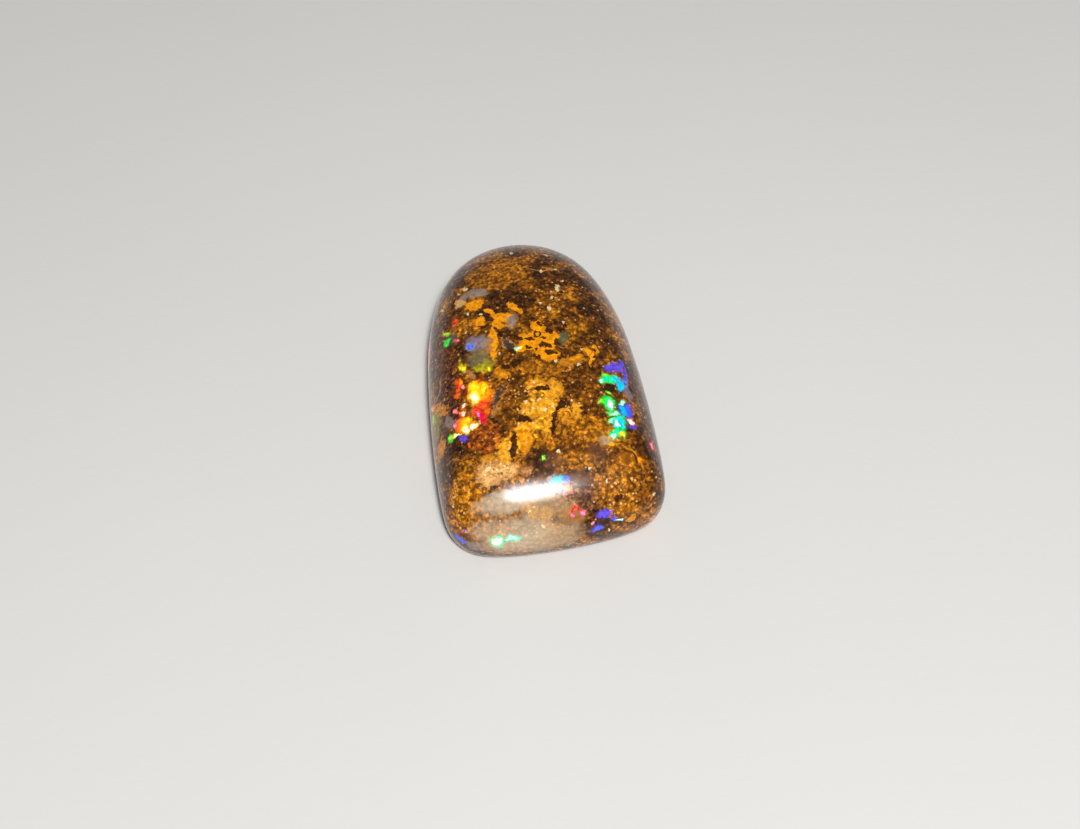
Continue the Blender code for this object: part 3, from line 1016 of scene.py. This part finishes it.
def floor_material(colour):
    """Pale matt board with a faint tooth."""
    material = bpy.data.materials.new("pale_board")
    material.use_nodes = True
    tree = material.node_tree
    shader = tree.nodes["Principled BSDF"]
    sheet = Sheet(tree)
    place = sheet.add("ShaderNodeTexCoord").outputs["Object"]
    tooth = sheet.noise(place, 1600.0, 4.0, 0.6).outputs["Fac"]
    cloud = sheet.noise(place, 30.0, 2.0, 0.5).outputs["Fac"]
    darker = (*(0.95 * share for share in colour), 1.0)
    tree.links.new(sheet.mix(cloud, (*colour, 1.0), darker), shader.inputs["Base Color"])
    bump = sheet.add("ShaderNodeBump", {"Height": tooth, "Distance": 0.05 * MM, "Strength": 0.25})
    tree.links.new(bump.outputs[0], shader.inputs["Normal"])
    shader.inputs["Roughness"].default_value = 0.75
    return material


class STONE_OT_cut_cabochon(bpy.types.Operator):
    """Cut the stone and lay its markings where the photograph shows them"""

    bl_idname = "stone.cut_cabochon"
    bl_label = "Cut Cabochon"

    def execute(self, context):
        scene = context.scene
        shape = cut_stone(scene.cabochon_sizes)
        mesh = bpy.data.meshes.new(STONE)
        shape.to_mesh(mesh)
        shape.free()
        mesh.shade_smooth()
        mesh.set_sharp_from_angle(angle=SHARP_ANGLE)
        stone = bpy.data.objects.new(STONE, mesh)
        scene.collection.objects.link(stone)
        spots = find_spots(Eye(scene.cabochon_stage, stone_surface()))
        mesh.materials.append(stone_material(scene.cabochon_colours, spots))
        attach(stone, "root")
        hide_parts(NODE)
        return {"FINISHED"}


class STONE_OT_set_stage(bpy.types.Operator):
    """Lay the floor, hang the lamp where it glints on the near rim, and set up the camera"""

    bl_idname = "stone.set_stage"
    bl_label = "Set Stage"

    def execute(self, context):
        scene = context.scene
        stage = scene.cabochon_stage
        eye = Eye(stage, stone_surface())

        camera = bpy.data.objects.new("camera", bpy.data.cameras.new("camera"))
        scene.collection.objects.link(camera)
        scene.camera = camera
        camera.data.lens = stage.lens
        camera.data.sensor_width = stage.sensor
        camera.data.clip_start = 5 * MM
        turned = Matrix((eye.right, eye.up, eye.back)).transposed().to_4x4()
        camera.matrix_world = Matrix.Translation(eye.place * MM) @ turned

        place, normal = eye.on_stone(*GLINT_PIXEL)
        seen = (eye.place - place).normalized()
        towards = 2 * normal.dot(seen) * normal - seen
        facing = towards.to_track_quat("Z", "Y").to_matrix() @ Matrix.Rotation(stage.lamp_turn, 3, "Z")
        for name, (growth, share) in SOFT_LAMP.items():
            lamp = bpy.data.objects.new(name, bpy.data.lights.new(name, "AREA"))
            scene.collection.objects.link(lamp)
            lamp.data.shape = "ELLIPSE"
            lamp.data.size = stage.lamp_width * growth
            lamp.data.size_y = stage.lamp_height * growth
            lamp.data.energy = stage.lamp_power * share
            lamp.location = place * MM + towards * stage.lamp_distance
            lamp.rotation_euler = facing.to_euler()

        world = bpy.data.worlds.new("room")
        world.use_nodes = True
        background = world.node_tree.nodes["Background"].inputs
        background["Color"].default_value = ROOM_COLOUR
        background["Strength"].default_value = stage.room_light
        scene.world = world

        board = bmesh.new()
        bmesh.ops.create_grid(board, x_segments=1, y_segments=1, size=FLOOR_SIZE)
        bmesh.ops.translate(board, verts=board.verts, vec=(0, 0, -FLOOR_DROP))
        mesh = bpy.data.meshes.new("floor")
        board.to_mesh(mesh)
        board.free()
        floor = bpy.data.objects.new("floor", mesh)
        scene.collection.objects.link(floor)
        mesh.materials.append(floor_material(stage.floor))
        scene.view_settings.view_transform = "Standard"
        return {"FINISHED"}


class STONE_PT_cabochon(bpy.types.Panel):
    """Sizes, colours and steps of the cabochon"""

    bl_label = "Boulder Opal"
    bl_idname = "STONE_PT_cabochon"
    bl_space_type = "VIEW_3D"
    bl_region_type = "UI"
    bl_category = "Opal"

    def draw(self, context):
        layout = self.layout
        scene = context.scene
        for group in (scene.cabochon_sizes, scene.cabochon_stage, scene.cabochon_colours):
            box = layout.box()
            for name in group.bl_rna.properties.keys():
                if name not in ("rna_type", "name"):
                    box.prop(group, name)
        for operator in OPERATORS:
            layout.operator(operator.bl_idname)


OPERATORS = (STONE_OT_cut_cabochon, STONE_OT_set_stage)
CLASSES = (CabochonSizes, CabochonColours, StageSettings, *OPERATORS, STONE_PT_cabochon)


def register():
    for cls in CLASSES:
        bpy.utils.register_class(cls)
    bpy.types.Scene.cabochon_sizes = bpy.props.PointerProperty(type=CabochonSizes)
    bpy.types.Scene.cabochon_colours = bpy.props.PointerProperty(type=CabochonColours)
    bpy.types.Scene.cabochon_stage = bpy.props.PointerProperty(type=StageSettings)


def unregister():
    del bpy.types.Scene.cabochon_stage
    del bpy.types.Scene.cabochon_colours
    del bpy.types.Scene.cabochon_sizes
    for cls in reversed(CLASSES):
        bpy.utils.unregister_class(cls)


def main():
    register()
    bpy.ops.stone.cut_cabochon()
    bpy.ops.stone.set_stage()


if __name__ == "__main__":
    main()
